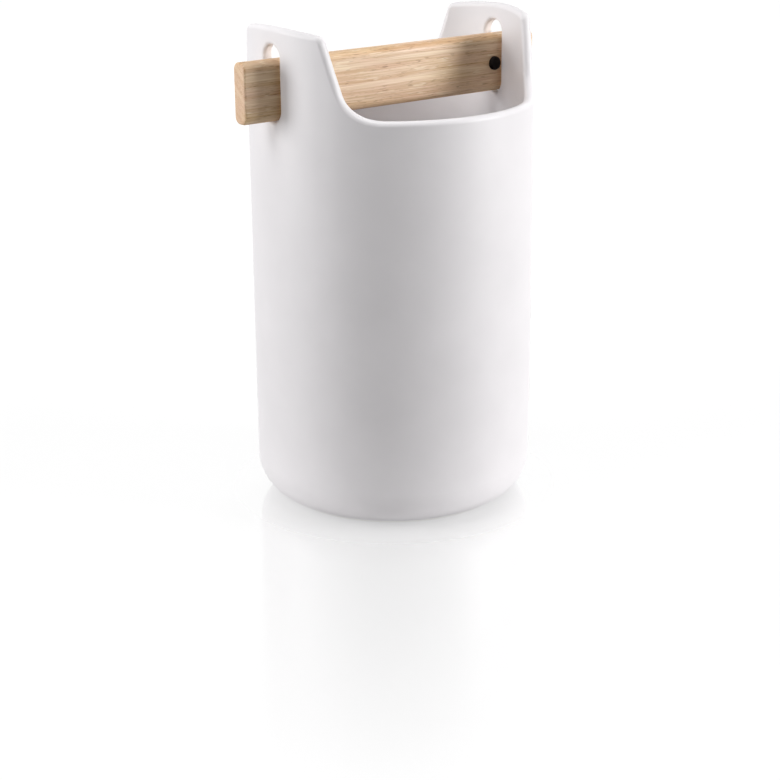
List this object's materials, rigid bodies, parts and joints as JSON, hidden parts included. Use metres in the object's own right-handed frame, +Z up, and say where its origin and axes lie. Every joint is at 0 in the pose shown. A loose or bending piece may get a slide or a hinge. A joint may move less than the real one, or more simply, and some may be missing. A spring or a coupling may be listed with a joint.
{
  "type": "utensil holder",
  "caption": "Round stoneware pot for kitchen utensils, open at the top, with raised slotted ears that carry a flat oak bar as a lift handle.",
  "frame": {"origin": "middle of the flat underside, where the pot's axis meets the surface it stands on", "axes": "+Z up along the pot's axis, X along the bar from the left ear to the right ear, Y towards the back"},
  "size_m": [0.15, 0.12, 0.2075],
  "materials": {
    "stoneware": "matte white glaze, fired",
    "oak": "sanded and oiled",
    "black_rubber": "matte"
  },
  "bodies": {
    "pot": {"pot": "stoneware"},
    "handle": {"handle_bar": "oak", "left_peg": "black_rubber", "right_peg": "black_rubber"}
  },
  "joints": [
    {"name": "bar_lift", "type": "slide", "parent": "pot", "child": "handle", "axis": [0, 0, 1], "range_m": [0, 0.005]}
  ]
}
